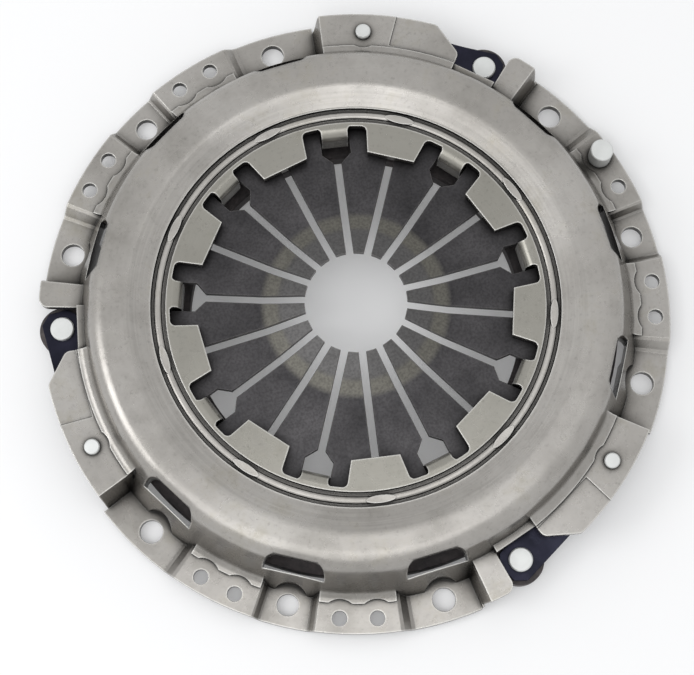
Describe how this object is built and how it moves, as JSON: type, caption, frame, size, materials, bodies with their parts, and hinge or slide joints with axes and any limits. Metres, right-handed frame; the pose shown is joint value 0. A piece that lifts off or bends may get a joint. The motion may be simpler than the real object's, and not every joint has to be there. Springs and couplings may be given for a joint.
{
  "type": "clutch pressure plate",
  "caption": "Clutch cover assembly with a pressed steel cover, slit diaphragm spring held by bent tabs, cast pressure plate and leaf drive straps.",
  "frame": {"origin": "centre of the flange's seat on the flywheel", "axes": "+Z towards the gearbox along the axis of rotation, +X through a dowel hole"},
  "size_m": [0.234, 0.236, 0.0309],
  "materials": {
    "cover_steel": "pressed low-carbon steel, lightly oiled, drawn sheen",
    "spring_steel": "tempered and phosphated spring steel, straw tinted near the finger tips",
    "wire_steel": "drawn round wire",
    "cast_iron": "grey cast iron, machined friction face",
    "strap_steel": "blued spring steel strip",
    "rivet_steel": "zinc plated steel"
  },
  "bodies": {
    "cover": {"cover": "cover_steel", "pivot_wire_ring": "wire_steel", "drive_strap_1_bottom": "strap_steel", "drive_strap_1_middle": "strap_steel", "drive_strap_1_top": "strap_steel", "drive_strap_2_bottom": "strap_steel", "drive_strap_2_middle": "strap_steel", "drive_strap_2_top": "strap_steel", "drive_strap_3_bottom": "strap_steel", "drive_strap_3_middle": "strap_steel", "drive_strap_3_top": "strap_steel", "cover_rivet_1": "rivet_steel", "cover_rivet_2": "rivet_steel", "cover_rivet_3": "rivet_steel", "balance_rivet": "rivet_steel"},
    "pressure_plate": {"pressure_plate": "cast_iron", "lug_rivet_1": "rivet_steel", "lug_rivet_2": "rivet_steel", "lug_rivet_3": "rivet_steel"},
    "diaphragm": {"diaphragm_spring": "spring_steel"}
  },
  "joints": [
    {"name": "plate_lift", "type": "slide", "parent": "cover", "child": "pressure_plate", "axis": [0, 0, 1], "range_m": [0, 0.004], "stiffness_N_per_m": 50000, "deforming": ["drive_strap_1_bottom", "drive_strap_1_middle", "drive_strap_1_top", "drive_strap_2_bottom", "drive_strap_2_middle", "drive_strap_2_top", "drive_strap_3_bottom", "drive_strap_3_middle", "drive_strap_3_top"]},
    {"name": "finger_travel", "type": "slide", "parent": "cover", "child": "diaphragm", "axis": [0, 0, -1], "range_m": [0, 0.0132], "deforming": ["diaphragm_spring"]}
  ],
  "couplings": [
    {"joint": "finger_travel", "follows": "plate_lift", "ratio": 3.2866}
  ]
}
